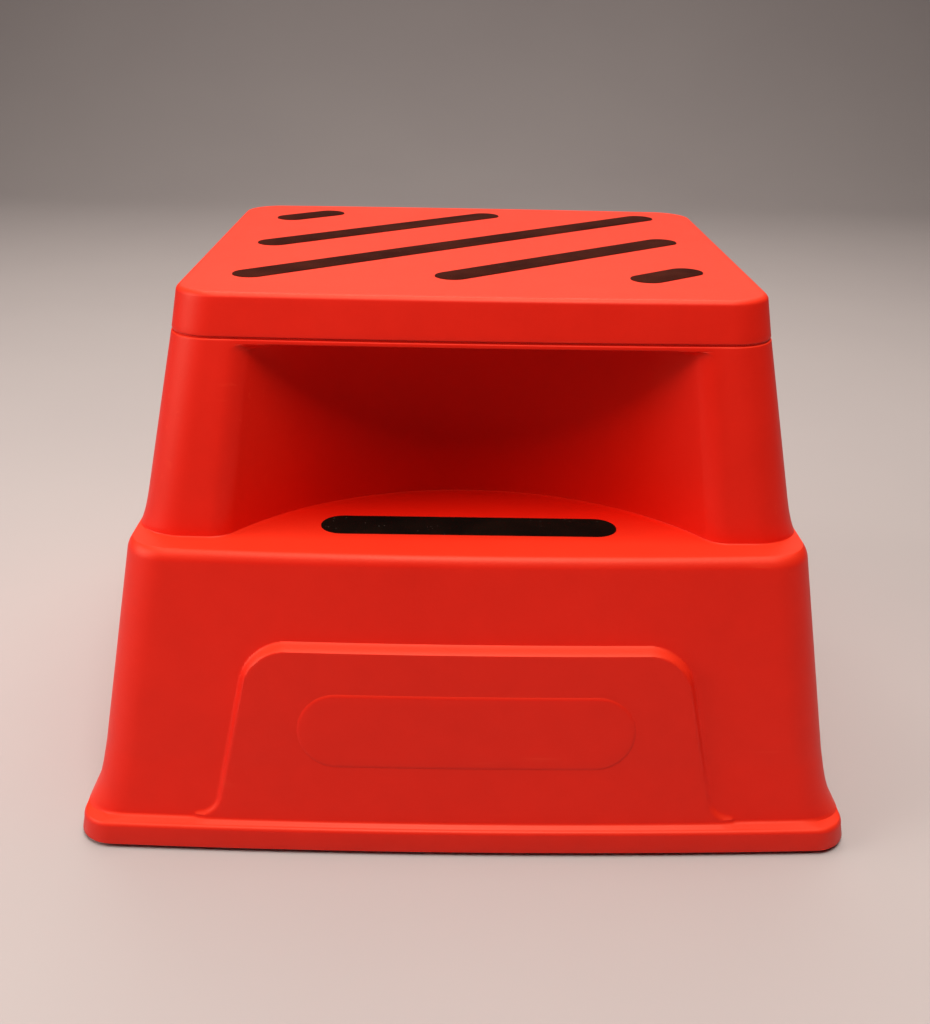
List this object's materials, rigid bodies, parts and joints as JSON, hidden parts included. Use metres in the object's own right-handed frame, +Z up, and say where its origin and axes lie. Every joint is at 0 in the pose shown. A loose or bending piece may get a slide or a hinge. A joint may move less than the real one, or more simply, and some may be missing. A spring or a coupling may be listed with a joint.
{
  "type": "kick step stool",
  "caption": "Moulded plastic step stool with a lower tread, a raised top platform with grip strips, a round toe recess and hidden sprung castors.",
  "frame": {"origin": "centre of the bounding box's footprint, on the floor under the wheels", "axes": "+X across the step to the user's right, +Y from the lower tread to the back, +Z up"},
  "size_m": [0.6, 0.5832, 0.4102],
  "materials": {
    "red_plastic": "satin moulded texture",
    "grip_black": "gritty",
    "pad_rubber": "matte",
    "zinc_steel": "zinc plated",
    "spring_steel": "oiled",
    "nylon": "satin",
    "tyre_grey": "matte"
  },
  "bodies": {
    "step": {"body_shell": "red_plastic", "top_platform": "red_plastic", "top_grip_strip_1": "grip_black", "top_grip_strip_2": "grip_black", "top_grip_strip_3": "grip_black", "top_grip_strip_4": "grip_black", "top_grip_strip_5": "grip_black", "tread_grip_strip": "grip_black", "foot_pad_front_left": "pad_rubber", "foot_pad_front_right": "pad_rubber", "foot_pad_back_right": "pad_rubber", "foot_pad_back_left": "pad_rubber", "cap_screw_1": "zinc_steel", "cap_screw_2": "zinc_steel", "cap_screw_3": "zinc_steel", "cap_screw_4": "zinc_steel", "castor_housing_front_left": "zinc_steel", "castor_spring_front_left": "spring_steel", "castor_screw_front_left_1": "zinc_steel", "castor_screw_front_left_2": "zinc_steel", "castor_housing_front_right": "zinc_steel", "castor_spring_front_right": "spring_steel", "castor_screw_front_right_1": "zinc_steel", "castor_screw_front_right_2": "zinc_steel", "castor_housing_back_right": "zinc_steel", "castor_spring_back_right": "spring_steel", "castor_screw_back_right_1": "zinc_steel", "castor_screw_back_right_2": "zinc_steel", "castor_housing_back_left": "zinc_steel", "castor_spring_back_left": "spring_steel", "castor_screw_back_left_1": "zinc_steel", "castor_screw_back_left_2": "zinc_steel"},
    "sleeve_front_left": {"castor_sleeve_front_left": "nylon"},
    "fork_front_left": {"castor_fork_front_left": "zinc_steel", "castor_clip_front_left": "spring_steel", "castor_axle_front_left": "zinc_steel"},
    "wheel_front_left": {"castor_hub_front_left": "nylon", "castor_tyre_front_left": "tyre_grey"},
    "sleeve_front_right": {"castor_sleeve_front_right": "nylon"},
    "fork_front_right": {"castor_fork_front_right": "zinc_steel", "castor_clip_front_right": "spring_steel", "castor_axle_front_right": "zinc_steel"},
    "wheel_front_right": {"castor_hub_front_right": "nylon", "castor_tyre_front_right": "tyre_grey"},
    "sleeve_back_right": {"castor_sleeve_back_right": "nylon"},
    "fork_back_right": {"castor_fork_back_right": "zinc_steel", "castor_clip_back_right": "spring_steel", "castor_axle_back_right": "zinc_steel"},
    "wheel_back_right": {"castor_hub_back_right": "nylon", "castor_tyre_back_right": "tyre_grey"},
    "sleeve_back_left": {"castor_sleeve_back_left": "nylon"},
    "fork_back_left": {"castor_fork_back_left": "zinc_steel", "castor_clip_back_left": "spring_steel", "castor_axle_back_left": "zinc_steel"},
    "wheel_back_left": {"castor_hub_back_left": "nylon", "castor_tyre_back_left": "tyre_grey"}
  },
  "joints": [
    {"name": "castor_sink_front_left", "type": "slide", "parent": "step", "child": "sleeve_front_left", "axis": [0, 0, 1], "range_m": [0, 0.006], "stiffness_N_per_m": 3300, "springref_m": -0.012, "deforming": ["castor_spring_front_left"]},
    {"name": "castor_swivel_front_left", "type": "hinge", "parent": "sleeve_front_left", "child": "fork_front_left", "pos_m": [-0.215, -0.205, 0.045], "axis": [0, 0, 1], "continuous": true},
    {"name": "castor_roll_front_left", "type": "hinge", "parent": "fork_front_left", "child": "wheel_front_left", "pos_m": [-0.215, -0.191, 0.019], "axis": [1, 0, 0], "continuous": true},
    {"name": "castor_sink_front_right", "type": "slide", "parent": "step", "child": "sleeve_front_right", "axis": [0, 0, 1], "range_m": [0, 0.006], "stiffness_N_per_m": 3300, "springref_m": -0.012, "deforming": ["castor_spring_front_right"]},
    {"name": "castor_swivel_front_right", "type": "hinge", "parent": "sleeve_front_right", "child": "fork_front_right", "pos_m": [0.215, -0.205, 0.045], "axis": [0, 0, 1], "continuous": true},
    {"name": "castor_roll_front_right", "type": "hinge", "parent": "fork_front_right", "child": "wheel_front_right", "pos_m": [0.215, -0.191, 0.019], "axis": [1, 0, 0], "continuous": true},
    {"name": "castor_sink_back_right", "type": "slide", "parent": "step", "child": "sleeve_back_right", "axis": [0, 0, 1], "range_m": [0, 0.006], "stiffness_N_per_m": 3300, "springref_m": -0.012, "deforming": ["castor_spring_back_right"]},
    {"name": "castor_swivel_back_right", "type": "hinge", "parent": "sleeve_back_right", "child": "fork_back_right", "pos_m": [0.215, 0.205, 0.045], "axis": [0, 0, 1], "continuous": true},
    {"name": "castor_roll_back_right", "type": "hinge", "parent": "fork_back_right", "child": "wheel_back_right", "pos_m": [0.215, 0.219, 0.019], "axis": [1, 0, 0], "continuous": true},
    {"name": "castor_sink_back_left", "type": "slide", "parent": "step", "child": "sleeve_back_left", "axis": [0, 0, 1], "range_m": [0, 0.006], "stiffness_N_per_m": 3300, "springref_m": -0.012, "deforming": ["castor_spring_back_left"]},
    {"name": "castor_swivel_back_left", "type": "hinge", "parent": "sleeve_back_left", "child": "fork_back_left", "pos_m": [-0.215, 0.205, 0.045], "axis": [0, 0, 1], "continuous": true},
    {"name": "castor_roll_back_left", "type": "hinge", "parent": "fork_back_left", "child": "wheel_back_left", "pos_m": [-0.215, 0.219, 0.019], "axis": [1, 0, 0], "continuous": true}
  ]
}
